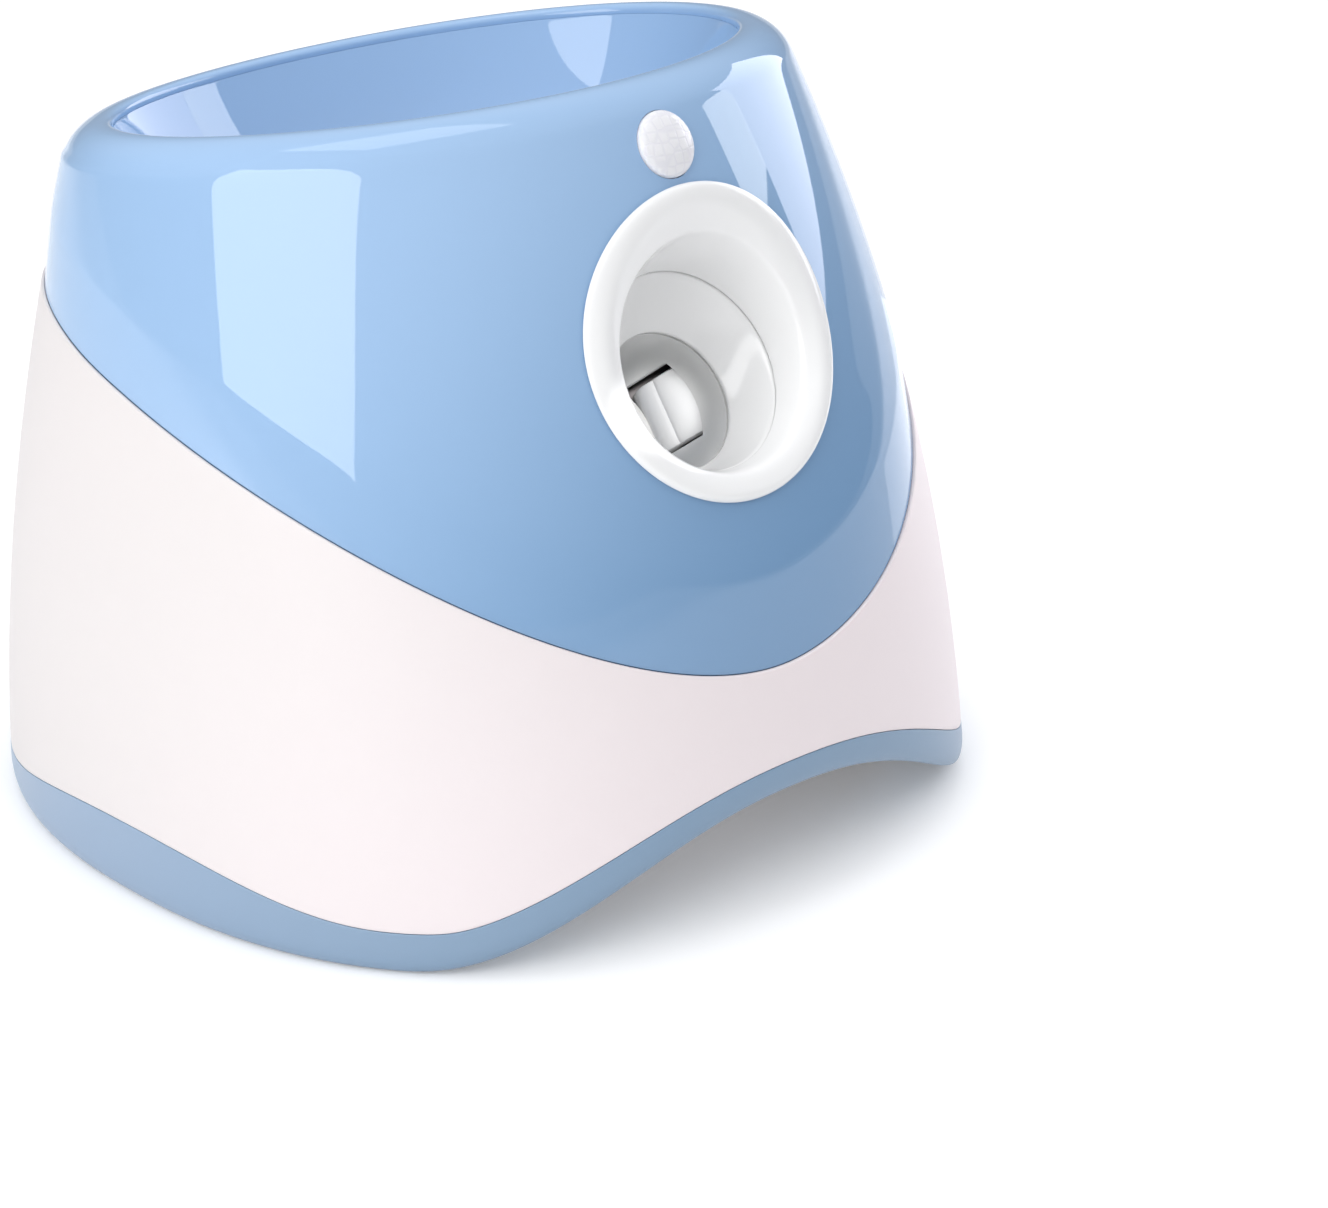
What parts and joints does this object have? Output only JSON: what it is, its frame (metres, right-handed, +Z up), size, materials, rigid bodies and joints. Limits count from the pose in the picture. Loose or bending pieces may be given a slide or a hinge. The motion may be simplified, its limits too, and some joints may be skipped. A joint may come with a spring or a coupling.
{
  "type": "automatic dog ball launcher",
  "caption": "Egg-shaped ball launcher with a tilted hopper bowl on top, a ringed muzzle in front, spinning wheels and a feed pusher inside, and arched feet.",
  "frame": {"origin": "on the ground under the centre of the part's bounding box", "axes": "+Z up, -Y the way the muzzle looks, +X across"},
  "size_m": [0.3522, 0.3376, 0.2839],
  "materials": {
    "blue_gloss": "high gloss",
    "blue_satin": "satin",
    "white_satin": "satin",
    "white_gloss": "gloss",
    "wheel_white": "satin",
    "grey_plastic": "satin",
    "lens_milk": "milky, faceted",
    "rubber_dark": "matt",
    "dark_plastic": "matt",
    "plated_steel": "plated",
    "board_green": "solder mask",
    "nylon": "natural nylon",
    "cell_can": "plain dark wrap",
    "lamp_green": "clear"
  },
  "bodies": {
    "housing": {"upper_shell": "blue_gloss", "lower_shell": "white_satin", "base_skirt": "blue_satin", "floor_plate": "white_satin", "foot_front_left": "rubber_dark", "foot_front_right": "rubber_dark", "foot_rear_left": "rubber_dark", "foot_rear_right": "rubber_dark", "muzzle_ring": "white_gloss", "throat_funnel": "white_gloss", "barrel": "grey_plastic", "feed_tube": "grey_plastic", "hopper_bowl": "blue_gloss", "barrel_stand_left": "plated_steel", "barrel_stand_right": "plated_steel", "stand_screw_left": "plated_steel", "stand_screw_right": "plated_steel", "motor_bracket_left": "plated_steel", "motor_bracket_right": "plated_steel", "bracket_screw_left": "plated_steel", "bracket_screw_right": "plated_steel", "wheel_motor_left": "plated_steel", "wheel_motor_right": "plated_steel", "feed_motor": "dark_plastic", "feed_motor_bracket": "plated_steel", "battery_box": "grey_plastic", "battery_cell_1": "cell_can", "battery_cell_2": "cell_can", "battery_cell_3": "cell_can", "battery_cell_4": "cell_can", "battery_cell_5": "cell_can", "battery_cell_6": "cell_can", "battery_door": "white_satin", "battery_door_screw": "plated_steel", "sensor_lens": "lens_milk", "sensor_board": "board_green", "control_panel": "grey_plastic", "control_board": "board_green", "board_screw_left": "plated_steel", "board_screw_right": "plated_steel", "power_socket": "dark_plastic", "range_lamp_1": "lamp_green", "range_lamp_2": "lamp_green", "range_lamp_3": "lamp_green"},
    "left_wheel": {"launch_wheel_left": "wheel_white", "wheel_shaft_left": "plated_steel"},
    "right_wheel": {"launch_wheel_right": "wheel_white", "wheel_shaft_right": "plated_steel"},
    "pusher": {"feed_pusher": "wheel_white", "pusher_shaft": "plated_steel", "sector_gear": "nylon"},
    "pinion": {"feed_pinion": "nylon", "feed_motor_shaft": "plated_steel"},
    "power_button": {"power_button": "blue_satin"},
    "range_button": {"range_button": "blue_satin"}
  },
  "joints": [
    {"name": "left_wheel_spin", "type": "hinge", "parent": "housing", "child": "left_wheel", "pos_m": [-0.0575, -0.0728, 0.15386], "axis": [0, 0.6018, 0.7986], "continuous": true},
    {"name": "right_wheel_spin", "type": "hinge", "parent": "housing", "child": "right_wheel", "pos_m": [0.0575, -0.0728, 0.15386], "axis": [0, 0.6018, 0.7986], "continuous": true},
    {"name": "feed_pusher_swing", "type": "hinge", "parent": "housing", "child": "pusher", "pos_m": [0, -0.06957, 0.08669], "axis": [1, 0, 0], "range_deg": [0, 32]},
    {"name": "feed_pinion_spin", "type": "hinge", "parent": "housing", "child": "pinion", "pos_m": [0, -0.03116, 0.07992], "axis": [1, 0, 0], "range_deg": [-110, 3]},
    {"name": "power_button_press", "type": "slide", "parent": "housing", "child": "power_button", "axis": [0, -0.991, -0.1341], "range_m": [0, 0.0015], "stiffness_N_per_m": 400},
    {"name": "range_button_press", "type": "slide", "parent": "housing", "child": "range_button", "axis": [0, -0.991, -0.1341], "range_m": [0, 0.0015], "stiffness_N_per_m": 400}
  ],
  "couplings": [
    {"joint": "feed_pinion_spin", "follows": "feed_pusher_swing", "ratio": -3.3333}
  ]
}
